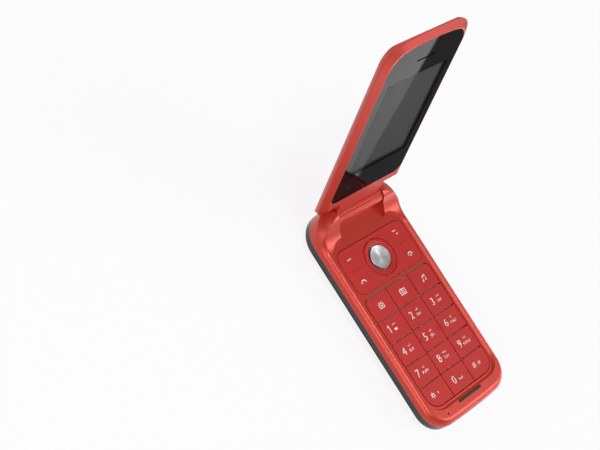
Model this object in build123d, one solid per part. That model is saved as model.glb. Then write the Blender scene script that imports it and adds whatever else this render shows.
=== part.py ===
from build123d import *
import os
from math import cos, radians, sin, sqrt

# A clamshell feature phone, lying on its back with the lid open.
# Origin: middle of the flat on the rear cover. +X to the user's right, +Y towards the hinge,
# +Z out of the keypad. All sizes are in millimetres.

# ---------------------------------------------------------------- driving dimensions
# Base, plan view
BASE_WIDTH = 52.4
BASE_LENGTH = 105.6
TOE_CORNER_R = 11.0  # corners at the microphone end
HINGE_CORNER_R = 13.0  # corners at the hinge end
TOE_BOW = 0.9  # how far the microphone end bulges out

# Base, heights above the resting face
COVER_SEAM_Z = 4.5  # rear cover meets the metal-look band
BAND_TOP_Z = 7.8  # band meets the front case
KEY_TOP_Z = 10.9
DECK_STEP = 0.2  # recess floor lies this far below the key tops
FRAME_PROUD = 1.0  # side rails stand this far above the key tops

# Keypad face: the key pitch is what these leave of width and length
RAIL_WIDTH = 4.66  # case beside the number pad
TOE_LAND = 8.95  # case between number pad and microphone end
HINGE_LAND = 19.1  # case between function plate and hinge end
PLATE_LENGTH = 21.1
PLATE_PAD_GAP = 1.9  # bar of the case between plate and number pad
KEY_ROWS = 5
KEY_COLUMNS = 3

# Walls and gaps
CASE_WALL = 1.5
DECK_WALL = 1.0
BAND_WALL = 1.3
COVER_WALL = 1.0
COVER_RIM = 1.4  # cover wall at the seam
COVER_ROLL = 9.2  # width of the cover's curved edge, seen from behind
COVER_INNER_ROLL = 6.0
COVER_INNER_RISE = 2.7
FIT_GAP = 0.15  # between pieces that are assembled and stay put
SEAM_GAP = 0.05  # between stacked pieces
PRESS_GAP = 0.01  # round pieces pressed into each other

# Waist band
RIB_PITCH = 0.9  # grooves along the straight sides
RIB_WIDTH = 0.4
RIB_DEPTH = 0.2
RIB_SPAN = 78.0
RIB_MARGIN = 0.4  # plain edge above and below the grooves
BAND_TAB_HALF = 8.0  # raised tab between the ears

# Shoulders of the front case
CASE_EDGE_R = 3.0  # rounding along the top edge
EAR_CROWN_R = 11.5  # much larger rounding over the shoulder of each ear
CROWN_CLEAR = 0.3  # keeps the larger rounding off the side walls
RAMP_R = 12.0  # hollow sweep from the side rail up to the ear
RECESS_MARGIN = 1.1  # floor between keys and the foot of the rail
RECESS_HEAD_MARGIN = 3.3  # floor between plate and the foot of the hinge trough
RECESS_HEAD_R = 7.0
SCOOP_DRAFT = 35.0  # lean of the recess walls, in degrees

# Hinge
HINGE_Z = 14.2
HINGE_SETBACK = 5.2  # hinge axis to the end of the base
EAR_R = 4.8  # height of the ear above the hinge axis
EAR_WIDTH = 11.8
BARREL_R = 4.3
BARREL_WALL = 1.3
BARREL_GAP = 0.4  # end play between barrel and ear
TROUGH_GAP = 0.4  # round the barrel
GROOVE_ANGLE = 40.0  # groove along the barrel, below the plane of the shut lid
GROOVE_R = 0.5
BUSH_R = 2.6
BUSH_BORE_R = 1.5
BUSH_REACH = 4.0  # how far the bush reaches into ear and into barrel
SHAFT_R = 1.4
SHAFT_KEY = 3.2  # across flats of the shaft's keyed head
SHAFT_HEAD = 4.0
SHAFT_REACH = 6.0  # how far the shaft reaches into the hinge unit
CAM_UNIT_LENGTH = 12.0
CAM_UNIT_INSET = 0.2  # hinge unit behind the barrel's end
RUNNING_GAP = 0.05
EAR_POCKET = 1.6  # room in each ear beyond the bush or the keyed head
EAR_POCKET_FRONT = 4.0
EAR_POCKET_BACK = 1.8
EAR_POCKET_RISE = 0.5
LID_OPEN_DEG = 110.0  # angle at which the lid stands

# Lid
LID_SIDE_STEP = 0.3  # base stands out beyond the shut lid by this much at each side
LID_TIP_STEP = 0.6  # and by this much at the microphone end
LID_HEEL = 4.0  # hinge axis to the heel edge of the outer shell
LID_HEEL_BOW = 1.6
LID_TIP_BOW = 2.6
LID_TIP_R = 11.0
LID_HEEL_R = 5.2
LENS_OFFSET = 1.0  # the lens face lies this far below the hinge axis when the lid is shut
LID_THICK = 6.0  # lens face to the back of the lid
LID_EDGE_R = 5.6  # rolled long edges of the outer shell
LID_TIP_ROLL = 13.0  # longer roll at the tip
LID_SEAM = 1.9  # depth of the seam below the lens face
LID_WALL = 1.2
LID_ROOM_SIDE = 2.9  # sloped corners inside the shell
LID_ROOM_DROP = 1.7
LID_ROOM_TIP = 6.0
LID_ROOM_TIP_DROP = 2.8
LID_EAR_GAP = 0.5
RIM_DROP = 1.75  # the rim falls away from the lens by this much
RIM_LIP = 0.2  # level strip of the rim next to the lens

# Display lens and what lies behind it
LENS_MARGIN = 3.3  # rim of the lid round the lens
LENS_FROM_AXIS = 13.0
LENS_THICK = 0.9
LENS_TIP_R = 9.0
LENS_HEEL_R = 4.3
LENS_BOW = 2.5
LENS_FIT = 0.08
LCD_SIDE_STEP = 1.25  # panel inside the edge of the lens
LCD_HEEL_STEP = 8.5
LCD_TIP_STEP = 15.0
LCD_THICK = 2.0
LCD_LEDGE = 1.0  # lip of the frame that carries the panel
LID_BOARD_STEP = 1.35  # board inside the edge of the panel
LID_BOARD_THICK = 0.6
EARPIECE_STEP = 9.7  # slot inside the tip edge of the lens
EARPIECE_SLOT = 11.2
EARPIECE_SLOT_WIDTH = 0.9
EARPIECE_MARGIN = 0.5  # speaker beyond the ends of the slot
EARPIECE_WIDTH = 5.4
EARPIECE_THICK = 2.2
EARPIECE_CORNER_R = 1.5
EARPIECE_MOUTH = 2.6
EARPIECE_MOUTH_DEPTH = 0.4
LED_FROM_AXIS = 11.2
LED_LENGTH = 7.0
LED_WIDTH = 2.6
LED_FIT = 0.02
LED_FLANGE = 0.6
MAGNET_LENGTH = 5.0
MAGNET_WIDTH = 3.0
MAGNET_THICK = 1.5
MAGNET_SIDE_STEP = 11.9  # magnet inside the long edge of the lid
MAGNET_TIP_STEP = 7.0
FLEX_UNIT_GAP = 2.8  # between rolled circuit and hinge unit
FLEX_THICK = 0.2
FLEX_ROLL_R = 1.1
FLEX_REACH = 0.6  # rolled circuit beyond the bush
FLEX_ROOM = 0.2
FLEX_LAP = 2.0  # circuit under the end of the lid's board

# Number pad: flush keys cut from one rounded outline
KEY_GAP = 0.36
PAD_TOP_R = 3.0
PAD_TOE_R = 6.5
KEY_THICK = 1.5
KEY_TRAVEL = 0.35
KEY_CHAMFER = 0.2
PIP_LENGTH = 2.4  # raised marks at either edge of the middle key
PIP_WIDTH = 0.6
PIP_HEIGHT = 0.2
PIP_EDGE_STEP = 1.1

# Function plate with the navigation ring and select button
PLATE_R = 4.2
PLATE_LIFT = 0.1  # plate is thinner than the keys by this much
RIDGE_LENGTH = 4.6  # raised bars between the signs
RIDGE_WIDTH = 0.8
RIDGE_HEIGHT = 0.3
RIDGE_EDGE_STEP = 5.8
RING_R = 8.4
RING_BORE_R = 5.9
RING_LIFT = 0.4
RING_PROUD = 0.2
RING_BEAD = 1.0  # width of the raised bead round the ring
RING_BEAD_EDGE = 0.25
RING_SLOPE = 0.2
SELECT_R = 5.4
SELECT_DISH = 0.45
ROUND_GAP = 0.3
PIVOT_WIDTH = 1.1  # soft rings that plate and navigation ring rock on
PIVOT_RIM = 0.5
PIVOT_CLEAR = 0.03
PLATE_ROCK_DEG = 1.0
RING_ROCK_DEG = 2.0

# Small parts at the microphone end
BUMPER_LENGTH = 15.2
BUMPER_WIDTH = 1.3
BUMPER_PROUD = 0.5
BUMPER_DEPTH = 0.9
BUMPER_FIT = 0.02
BUMPER_CHAMFER = 0.3
BUMPER_STEP = 6.2  # from the end of the base
MIC_SIDE_STEP = 10.0
MIC_TOE_STEP = 4.8
MIC_HOLE_R = 0.45
MIC_R = 2.0
MOTOR_X = 10.0
MOTOR_TOE_STEP = 5.5
MOTOR_R = 2.0
MOTOR_LENGTH = 8.0
MOTOR_WEIGHT = 2.6
MOTOR_WEIGHT_STEP = 0.2
ANTENNA_X = -9.0
ANTENNA_TOE_STEP = 3.0
ANTENNA_WIDTH = 14.0
ANTENNA_LENGTH = 4.5
ANTENNA_THICK = 2.6

# Ports on the right-hand side
JACK_HEAD_STEP = 26.8  # from the hinge end of the base
JACK_Z = 4.8
JACK_BORE_R = 1.8
JACK_BODY_R = 2.6
JACK_LENGTH = 13.0
JACK_FLOOR = 1.0
JACK_ROOM = 0.1
PORT_INSET = 0.2  # both ports lie behind the side face by this much
USB_HEAD_STEP = 39.8
USB_Z = 6.2
USB_WIDTH = 7.4
USB_HEIGHT = 2.6
USB_LENGTH = 5.6
USB_SHEET = 0.35
USB_FLOOR = 1.0
USB_TONGUE_WIDTH = 4.0
USB_TONGUE_THICK = 0.5
USB_TONGUE_LIFT = 0.1
USB_TONGUE_INSET = 1.2

# Back of the base
CAMERA_SIDE_STEP = 13.7
CAMERA_HEAD_STEP = 19.2
CAMERA_HOLE_R = 4.5
CAMERA_LENS_R = 3.5
CAMERA_LENS_THICK = 0.7
CAMERA_LENS_STEP = 0.2  # window behind the face of its bezel
CAMERA_STACK_Z = 0.5
CAMERA_BEZEL = 1.4
CAMERA_BODY = 8.4
CAMERA_EYE_DEPTH = 0.8
CAMERA_EYE = 0.4
SPEAKER_WIDTH = 14.6
SPEAKER_LENGTH = 11.5
SPEAKER_CORNER_R = 2.0
SPEAKER_GAP = 1.4
SPEAKER_RIM = 1.5
SPEAKER_RIM_R = 1.2
SPEAKER_CONE = 0.6
GRILLE_SIDE_STEP = 12.2
GRILLE_HEAD_STEP = 20.5
GRILLE_PITCH = 1.4
GRILLE_COLUMNS = 8
GRILLE_ROWS = 5
GRILLE_HOLE_R = 0.44  # over the corners of each eight-sided hole
GRILLE_SIDES = 8

# Battery, chassis and cards
BATTERY_SIDE_ROOM = 9.2  # from the side of the base to the battery
BATTERY_TOE_ROOM = 9.8
BATTERY_HEAD_ROOM = 43.8
BATTERY_THICK = 4.7
BATTERY_EDGE_R = 0.8
BATTERY_GAP = 0.1
WELL_WALL = 1.2
WELL_DEPTH = 2.2
CHASSIS_FLOOR = 0.8
CHASSIS_STEP = 0.5  # chassis lies this far below the top of the band
CONTACT_WIDTH = 9.0
CONTACT_DEPTH = 3.2
CONTACT_SLOTS = 3
CONTACT_PITCH = 2.5
CONTACT_SLOT = 1.2
CONTACT_SLOT_DEPTH = 0.3
CONTACT_EDGE_LOW = 0.6
CONTACT_EDGE_HIGH = 0.8
CARD_GAP = 0.5  # between well and card holders
CARD_LEFT_ROOM = 2.95
CARD_RIGHT_ROOM = 6.95
CARD_SPACING = 1.0
CARD_LENGTH = 11.4
CARD_HOLDER = 1.4
CARD_SHEET = 0.35
CARD_SIDE = 0.8
CARD_END = 1.2
CARD_SLOT = 1.0
CARD_WINDOW_SIDE = 3.0
CARD_WINDOW_END = 4.0
MEMORY_WIDTH = 12.5

# Main board, switches, mat and screws
BOARD_THICK = 0.8
BOARD_TROUGH_STEP = 0.5
FILM_THICK = 0.12
FILM_MARGIN = 0.5  # film and mat inside the outline of the keys
DOME_THICK = 0.2
DOME_R = 2.2
DOME_SIDES = 8
SOFT_INSET = 5.0  # switches under the corners of the function plate
RING_SWITCH_R = 7.0
MAT_THICK = 0.3
PLUNGER_LENGTH = 6.0
PLUNGER_WIDTH = 4.0
SCREW_R = 0.8
SCREW_HEAD_R = 1.4
SCREW_HEAD = 0.7
SCREW_SIDES = 12
BOSS_R = 1.5
BOSS_BITE = 0.15  # each boss runs into the side wall by this much
SCREW_TOE_STEP = 16.8
SCREW_HEAD_STEP = 17.3
SCREW_STOP = 0.2

# ---------------------------------------------------------------- derived places
HALF_W = BASE_WIDTH / 2
TOE_Y = -BASE_LENGTH / 2
HEAD_Y = BASE_LENGTH / 2
FAR = BASE_LENGTH  # reaches past every side of the phone
HINGE_Y = HEAD_Y - HINGE_SETBACK
EAR_TOP_Z = HINGE_Z + EAR_R
EAR_INNER_X = HALF_W - EAR_WIDTH
BARREL_HALF = EAR_INNER_X - BARREL_GAP
TROUGH_R = BARREL_R + TROUGH_GAP
BAND_TAB_TOP_Z = HINGE_Z - TROUGH_R  # level with the floor under the barrel
FRAME_TOP_Z = KEY_TOP_Z + FRAME_PROUD
DECK_Z = KEY_TOP_Z - DECK_STEP
DECK_UNDER_Z = DECK_Z - DECK_WALL
CASE_Z = BAND_TOP_Z + SEAM_GAP
CHASSIS_Z = BAND_TOP_Z - CHASSIS_STEP - CHASSIS_FLOOR
UNDER_Z = CHASSIS_Z - SEAM_GAP
BOARD_Z = CHASSIS_Z + CHASSIS_FLOOR + SEAM_GAP
BOARD_TOP_Z = BOARD_Z + BOARD_THICK
FILM_Z = BOARD_TOP_Z + SEAM_GAP
DOME_Z = FILM_Z + FILM_THICK
MAT_Z = DOME_Z + DOME_THICK + SEAM_GAP
MAT_TOP_Z = MAT_Z + MAT_THICK
KEY_UNDER_Z = KEY_TOP_Z - KEY_THICK

PLATE_HIGH_Y = HEAD_Y - HINGE_LAND
PLATE_LOW_Y = PLATE_HIGH_Y - PLATE_LENGTH
NAV_Y = (PLATE_LOW_Y + PLATE_HIGH_Y) / 2
PAD_TOP_Y = PLATE_LOW_Y - PLATE_PAD_GAP
PAD_BOTTOM_Y = TOE_Y + TOE_LAND
PAD_HALF = HALF_W - RAIL_WIDTH
PLATE_HALF = PAD_HALF - KEY_GAP / 2
KEY_PITCH_X = 2 * PAD_HALF / KEY_COLUMNS
KEY_PITCH_Y = (PAD_TOP_Y - PAD_BOTTOM_Y) / KEY_ROWS
RECESS_HEAD_Y = PLATE_HIGH_Y + RECESS_HEAD_MARGIN

LENS_Z = HINGE_Z - LENS_OFFSET
LID_BACK_Z = LENS_Z + LID_THICK
SEAM_Z = LENS_Z + LID_SEAM

JACK_Y = HEAD_Y - JACK_HEAD_STEP
USB_Y = HEAD_Y - USB_HEAD_STEP
CAMERA_X = HALF_W - CAMERA_SIDE_STEP
CAMERA_Y = HEAD_Y - CAMERA_HEAD_STEP
GRILLE_X = GRILLE_SIDE_STEP - HALF_W
GRILLE_Y = HEAD_Y - GRILLE_HEAD_STEP
BATTERY_HALF = HALF_W - BATTERY_SIDE_ROOM
BATTERY_LOW_Y = TOE_Y + BATTERY_TOE_ROOM
BATTERY_HIGH_Y = HEAD_Y - BATTERY_HEAD_ROOM
CONTACT_Y = BATTERY_HIGH_Y + BATTERY_GAP
CARD_Y = CONTACT_Y + WELL_WALL + CARD_GAP
SIM_WIDTH = (BASE_WIDTH - CARD_LEFT_ROOM - CARD_RIGHT_ROOM - MEMORY_WIDTH) / 2 - CARD_SPACING
SCREW_X = HALF_W - CASE_WALL - BOSS_R + BOSS_BITE
SCREW_LOW_Y = TOE_Y + SCREW_TOE_STEP
SCREW_HIGH_Y = HEAD_Y - SCREW_HEAD_STEP

key_rows = [PAD_TOP_Y - (row + 0.5) * KEY_PITCH_Y for row in range(KEY_ROWS)]
key_columns = [(column - (KEY_COLUMNS - 1) / 2) * KEY_PITCH_X for column in range(KEY_COLUMNS)]
key_places = [(x, y) for y in key_rows for x in key_columns]
screw_rows = [SCREW_LOW_Y, (SCREW_LOW_Y + SCREW_HIGH_Y) / 2, SCREW_HIGH_Y]
screw_places = [(x, y) for x in (-SCREW_X, SCREW_X) for y in screw_rows]

parts = {}


# ---------------------------------------------------------------- shapes used again and again
def slab(x0, x1, y0, y1, z0, z1):
    return Pos((x0 + x1) / 2, (y0 + y1) / 2, (z0 + z1) / 2) * Box(x1 - x0, y1 - y0, z1 - z0)


def post(radius, x, y, z0, z1):
    return Pos(x, y, (z0 + z1) / 2) * Cylinder(radius, z1 - z0)


def stud(radius, x, y, z0, z1):
    """Many-sided post for fasteners that repeat."""
    return Pos(x, y, z0) * extrude(RegularPolygon(radius, SCREW_SIDES), z1 - z0)


def rod(radius, x0, x1, y, z):
    return Pos((x0 + x1) / 2, y, z) * Rot(Y=90) * Cylinder(radius, x1 - x0)


def prism(plan, z0, z1, taper=0.0):
    return extrude(Pos(0, 0, z0) * plan, z1 - z0, taper=taper)


def outline(half, low, high, low_r, high_r, low_bow=0.0, high_bow=0.0):
    """Plan with rounded corners; either end may bulge out by its bow."""
    low_end = Line((-half, low), (half, low))
    if low_bow:
        low_end = ThreePointArc((-half, low + low_bow), (0, low), (half, low + low_bow))
    high_end = Line((half, high), (-half, high))
    if high_bow:
        high_end = ThreePointArc((half, high - high_bow), (0, high), (-half, high - high_bow))
    right = Line(low_end @ 1, high_end @ 0)
    left = Line(high_end @ 1, low_end @ 0)
    face = make_face([low_end, right, high_end, left])
    face = fillet(face.vertices().sort_by(Axis.Y)[:2], low_r)
    corners = [v for v in face.vertices() if abs(abs(v.X) - half) < 0.001]
    return fillet(ShapeList(corners).sort_by(Axis.Y)[-2:], high_r)


def hinge_side(grow, low_z):
    """Side view of the top of the case: flat rail, hollow ramp, round ear."""
    ear = EAR_R + grow
    reach = EAR_R + RAMP_R
    rail = FRAME_TOP_Z + grow
    rise = rail + RAMP_R - grow - HINGE_Z
    ramp_y = HINGE_Y - sqrt(reach**2 - rise**2)
    touch = (HINGE_Y + (ramp_y - HINGE_Y) * ear / reach, HINGE_Z + rise * ear / reach)
    ear_top = (HINGE_Y, HINGE_Z + ear)
    back_r = HINGE_SETBACK + grow
    back = (HINGE_Y + back_r, HINGE_Z + ear - back_r)
    front_y = TOE_Y - EAR_R
    edges = [
        Line((front_y, low_z), (front_y, rail)),
        Line((front_y, rail), (ramp_y, rail)),
        TangentArc((ramp_y, rail), touch, tangent=(1, 0)),
        TangentArc(ear_top, touch, tangent=(-1, 0)),
        TangentArc(ear_top, back, tangent=(1, 0)),
        Line(back, (back[0], low_z)),
        Line((back[0], low_z), (front_y, low_z)),
    ]
    return Plane.YZ * make_face(edges)


# ---------------------------------------------------------------- base: outer shells
base_plan = outline(HALF_W, TOE_Y, HEAD_Y, TOE_CORNER_R, HINGE_CORNER_R, TOE_BOW)
case_inner_plan = offset(base_plan, amount=-CASE_WALL)
band_inner_plan = offset(base_plan, amount=-BAND_WALL)

jack_room = JACK_LENGTH + JACK_ROOM
jack_hole = rod(JACK_BODY_R + JACK_ROOM, HALF_W - jack_room, HALF_W + 1, JACK_Y, JACK_Z)
usb_mouth = Box(2 * (USB_LENGTH + PORT_INSET), USB_WIDTH + 2 * JACK_ROOM, USB_HEIGHT + 2 * JACK_ROOM)
usb_hole = Pos(HALF_W, USB_Y, USB_Z) * usb_mouth

# Rear cover: a shallow dish with rolled edges that clips over the battery
roll_r = (COVER_ROLL**2 + COVER_SEAM_Z**2) / (2 * COVER_SEAM_Z)
rear_cover = prism(offset(base_plan, amount=roll_r - COVER_ROLL), 0, roll_r + 1)
rear_cover = fillet(rear_cover.edges().group_by(Axis.Z)[0], roll_r)
rear_cover &= slab(-FAR, FAR, -FAR, FAR, 0, COVER_SEAM_Z - SEAM_GAP)
cover_room = prism(offset(base_plan, amount=-COVER_RIM), COVER_WALL, COVER_SEAM_Z)
rear_cover -= chamfer(cover_room.edges().group_by(Axis.Z)[0], COVER_INNER_RISE, COVER_INNER_ROLL)
rear_cover -= jack_hole
rear_cover -= post(CAMERA_HOLE_R, CAMERA_X, CAMERA_Y, -1, COVER_SEAM_Z)
grille = GridLocations(GRILLE_PITCH, GRILLE_PITCH, GRILLE_COLUMNS, GRILLE_ROWS)
grille_hole = extrude(RegularPolygon(GRILLE_HOLE_R, GRILLE_SIDES), COVER_SEAM_Z, both=True)
rear_cover -= [Pos(GRILLE_X, GRILLE_Y) * place * grille_hole for place in grille]
parts["rear_cover"] = rear_cover

# Band round the waist, ribbed along its straight sides, with a tab between the ears
side_band = prism(base_plan, COVER_SEAM_Z, BAND_TOP_Z)
tab_y = HEAD_Y - BAND_WALL
side_band += slab(-BAND_TAB_HALF, BAND_TAB_HALF, tab_y, HEAD_Y, COVER_SEAM_Z, BAND_TAB_TOP_Z)
side_band -= [prism(band_inner_plan, 0, BAND_TOP_Z + 1), jack_hole, usb_hole]
rib_count = int(RIB_SPAN / RIB_PITCH)
groove_height = BAND_TOP_Z - COVER_SEAM_Z - 2 * RIB_MARGIN
groove = Pos(0, 0, (COVER_SEAM_Z + BAND_TOP_Z) / 2) * Box(2 * RIB_DEPTH, RIB_WIDTH, groove_height)
grooves = []
for i in range(rib_count):
    y = (i - (rib_count - 1) / 2) * RIB_PITCH
    near_jack = abs(y - JACK_Y) < JACK_BODY_R + RIB_WIDTH
    near_usb = abs(y - USB_Y) < USB_WIDTH / 2 + RIB_WIDTH
    grooves.append(Pos(-HALF_W, y) * groove)
    if not (near_jack or near_usb):
        grooves.append(Pos(HALF_W, y) * groove)
parts["side_band"] = side_band - grooves

# Front case: rails, hinge ears with swept shoulders, recess for the keys
front_case = prism(base_plan, CASE_Z, EAR_TOP_Z + 1) & extrude(hinge_side(0, CASE_Z), FAR, both=True)
top_edges = [e for e in front_case.edges() if e.bounding_box().max.Z > FRAME_TOP_Z - 0.01]
top_edges = [e for e in top_edges if e.bounding_box().size.X < HALF_W or e.center().Y < PAD_BOTTOM_Y]
front_case = fillet(top_edges, CASE_EDGE_R)
crown_corner = EAR_CROWN_R + 2
crown_half = HALF_W + CROWN_CLEAR
crown_plan = outline(crown_half, TOE_Y - EAR_R, HEAD_Y + EAR_R, crown_corner, crown_corner)
crown = prism(crown_plan, EAR_TOP_Z - crown_corner, EAR_TOP_Z)
crown = fillet(crown.edges().group_by(Axis.Z)[-1], EAR_CROWN_R)
front_case = front_case & crown

trough = rod(TROUGH_R, -EAR_INNER_X, EAR_INNER_X, HINGE_Y, HINGE_Z)
trough_end_y = RECESS_HEAD_Y - RECESS_HEAD_MARGIN
trough += slab(-EAR_INNER_X, EAR_INNER_X, HINGE_Y, HEAD_Y + 1, HINGE_Z - TROUGH_R, EAR_TOP_Z + 1)
trough += slab(-EAR_INNER_X, EAR_INNER_X, trough_end_y, HINGE_Y, DECK_Z, EAR_TOP_Z + 1)
skin_half = EAR_INNER_X + 2 * DECK_WALL
trough_skin = rod(TROUGH_R + DECK_WALL, -skin_half, skin_half, HINGE_Y, HINGE_Z)
trough_skin += slab(-skin_half, skin_half, HINGE_Y, HEAD_Y, HINGE_Z - TROUGH_R - DECK_WALL, HINGE_Z)
front_case -= prism(case_inner_plan, CASE_Z - 1, DECK_UNDER_Z) - trough_skin

recess_half = PAD_HALF + RECESS_MARGIN
recess_low_y = PAD_BOTTOM_Y - RECESS_MARGIN
recess_toe_r = PAD_TOE_R + RECESS_MARGIN
recess_plan = outline(recess_half, recess_low_y, RECESS_HEAD_Y, recess_toe_r, RECESS_HEAD_R)
front_case -= [trough, prism(recess_plan, DECK_Z, EAR_TOP_Z + 1, taper=-SCOOP_DRAFT)]

pad_plan = outline(PAD_HALF, PAD_BOTTOM_Y, PAD_TOP_Y, PAD_TOE_R, PAD_TOP_R)
plate_plan = outline(PLATE_HALF, PLATE_LOW_Y, PLATE_HIGH_Y, PLATE_R, PLATE_R)
for plan in (pad_plan, plate_plan):
    front_case -= prism(offset(plan, amount=KEY_GAP / 2), CASE_Z, DECK_Z + 1)

for x, y in screw_places:
    front_case += stud(BOSS_R, x, y, BOARD_TOP_Z + SEAM_GAP, DECK_UNDER_Z + SCREW_STOP)
    front_case -= stud(SCREW_R, x, y, BOARD_TOP_Z, DECK_UNDER_Z + SCREW_STOP)

front_case -= rod(BUSH_R + PRESS_GAP, -EAR_INNER_X - BUSH_REACH, 0, HINGE_Y, HINGE_Z)
key_room = SHAFT_KEY + 2 * PRESS_GAP
front_case -= Pos(EAR_INNER_X + SHAFT_HEAD / 2, HINGE_Y, HINGE_Z) * Box(SHAFT_HEAD, key_room, key_room)
pocket = slab(
    EAR_INNER_X + BUSH_REACH,
    EAR_INNER_X + BUSH_REACH + EAR_POCKET,
    HINGE_Y - EAR_POCKET_FRONT,
    HINGE_Y + EAR_POCKET_BACK,
    CASE_Z - 1,
    HINGE_Z + FLEX_ROLL_R + EAR_POCKET_RISE,
)
front_case -= [pocket, mirror(pocket, Plane.YZ)]

bumper_plan = Pos(0, TOE_Y + BUMPER_STEP) * SlotOverall(BUMPER_LENGTH, BUMPER_WIDTH)
bumper_floor_z = FRAME_TOP_Z - BUMPER_DEPTH
mic_x = MIC_SIDE_STEP - HALF_W
mic_y = TOE_Y + MIC_TOE_STEP
tab_room = BAND_TAB_HALF + FIT_GAP
front_case -= prism(bumper_plan, bumper_floor_z, FRAME_TOP_Z + 1)
front_case -= post(MIC_HOLE_R, mic_x, mic_y, CASE_Z, FRAME_TOP_Z + 1)
front_case -= slab(-tab_room, tab_room, tab_y - FIT_GAP, HEAD_Y + 1, CASE_Z - 1, BAND_TAB_TOP_Z + FIT_GAP)
parts["front_case"] = front_case

# Bumper that the lid closes on
bumper = prism(offset(bumper_plan, amount=-BUMPER_FIT), bumper_floor_z, FRAME_TOP_Z + BUMPER_PROUD)
parts["bumper"] = chamfer(bumper.edges().group_by(Axis.Z)[-1], BUMPER_CHAMFER)

# ---------------------------------------------------------------- base: chassis and what it carries
chassis_plan = offset(base_plan, amount=-BAND_WALL - FIT_GAP)
chassis = prism(chassis_plan, CHASSIS_Z, CHASSIS_Z + CHASSIS_FLOOR) - [jack_hole, usb_hole]
wall_half = BATTERY_HALF + WELL_WALL
room_half = BATTERY_HALF + BATTERY_GAP
well_low_z = CHASSIS_Z - WELL_DEPTH
wall_low_y = BATTERY_LOW_Y - WELL_WALL
wall_high_y = BATTERY_HIGH_Y + WELL_WALL
well = slab(-wall_half, wall_half, wall_low_y, wall_high_y, well_low_z, CHASSIS_Z + SEAM_GAP)
well -= slab(-room_half, room_half, BATTERY_LOW_Y - BATTERY_GAP, CONTACT_Y, 0, CHASSIS_Z)
contact_room = CONTACT_WIDTH / 2 + FIT_GAP
well -= slab(-contact_room, contact_room, BATTERY_HIGH_Y, wall_high_y + 1, 0, CHASSIS_Z)
chassis += well
for x, y in screw_places:
    chassis -= stud(SCREW_R + FIT_GAP, x, y, 0, BAND_TOP_Z)
parts["chassis"] = chassis

# Main board, with the key switches on top
board_plan = offset(base_plan, amount=-CASE_WALL - FIT_GAP)
main_board = prism(board_plan, BOARD_Z, BOARD_TOP_Z) - [jack_hole, usb_hole]
board_high_y = HINGE_Y - TROUGH_R - DECK_WALL - BOARD_TROUGH_STEP
main_board -= slab(-HALF_W, HALF_W, board_high_y, HEAD_Y, 0, BOARD_TOP_Z + 1)
for x, y in screw_places:
    main_board -= stud(BOSS_R, x, y, 0, BOARD_TOP_Z + 1)
parts["main_board"] = main_board

sheet_half = PAD_HALF - FILM_MARGIN
sheet_low_y = PAD_BOTTOM_Y + FILM_MARGIN
sheet_plan = outline(sheet_half, sheet_low_y, PLATE_HIGH_Y - FILM_MARGIN, PAD_TOE_R, PLATE_R)
soft_x = PLATE_HALF - SOFT_INSET
soft_y = PLATE_LENGTH / 2 - SOFT_INSET
dome_places = key_places + [(0, NAV_Y)]
dome_places += [(x, NAV_Y + y) for x in (-soft_x, soft_x) for y in (-soft_y, soft_y)]
dome_places += [(x, NAV_Y) for x in (-RING_SWITCH_R, RING_SWITCH_R)]
dome_places += [(0, NAV_Y + y) for y in (-RING_SWITCH_R, RING_SWITCH_R)]
dome = Pos(0, 0, DOME_Z) * extrude(RegularPolygon(DOME_R, DOME_SIDES), DOME_THICK)
dome_sheet = prism(sheet_plan, FILM_Z, DOME_Z)
for x, y in dome_places:
    dome_sheet += Pos(x, y) * dome
parts["dome_sheet"] = dome_sheet

# Silicone mat over the domes, with a plunger under each key
key_mat = prism(sheet_plan, MAT_Z, MAT_TOP_Z)
plunger_top_z = KEY_UNDER_Z - KEY_TRAVEL - SEAM_GAP
plunger = Pos(0, 0, (MAT_Z + plunger_top_z) / 2) * Box(PLUNGER_LENGTH, PLUNGER_WIDTH, plunger_top_z - MAT_Z)
for x, y in key_places:
    key_mat += Pos(x, y) * plunger
parts["key_mat"] = key_mat

# Ports
port_x = HALF_W - PORT_INSET
jack = rod(JACK_BODY_R, HALF_W - JACK_LENGTH, port_x, JACK_Y, JACK_Z)
jack -= rod(JACK_BORE_R, HALF_W - JACK_LENGTH + JACK_FLOOR, HALF_W, JACK_Y, JACK_Z)
parts["audio_jack"] = jack
usb_x = port_x - USB_LENGTH / 2
usb_shell = Pos(usb_x, USB_Y, USB_Z) * Box(USB_LENGTH, USB_WIDTH, USB_HEIGHT)
usb_shell = chamfer(usb_shell.edges().filter_by(Axis.X).group_by(Axis.Z)[0], USB_HEIGHT * 0.3)
usb_room = Box(USB_LENGTH, USB_WIDTH - 2 * USB_SHEET, USB_HEIGHT - 2 * USB_SHEET)
usb_room = chamfer(usb_room.edges().filter_by(Axis.X).group_by(Axis.Z)[0], USB_HEIGHT * 0.25)
tongue_z = USB_Z + USB_TONGUE_LIFT
tongue = slab(
    port_x - USB_LENGTH + USB_FLOOR / 2,
    port_x - USB_TONGUE_INSET,
    USB_Y - USB_TONGUE_WIDTH / 2,
    USB_Y + USB_TONGUE_WIDTH / 2,
    tongue_z,
    tongue_z + USB_TONGUE_THICK,
)
parts["usb_socket"] = usb_shell - Pos(usb_x + USB_FLOOR, USB_Y, USB_Z) * usb_room + tongue

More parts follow.
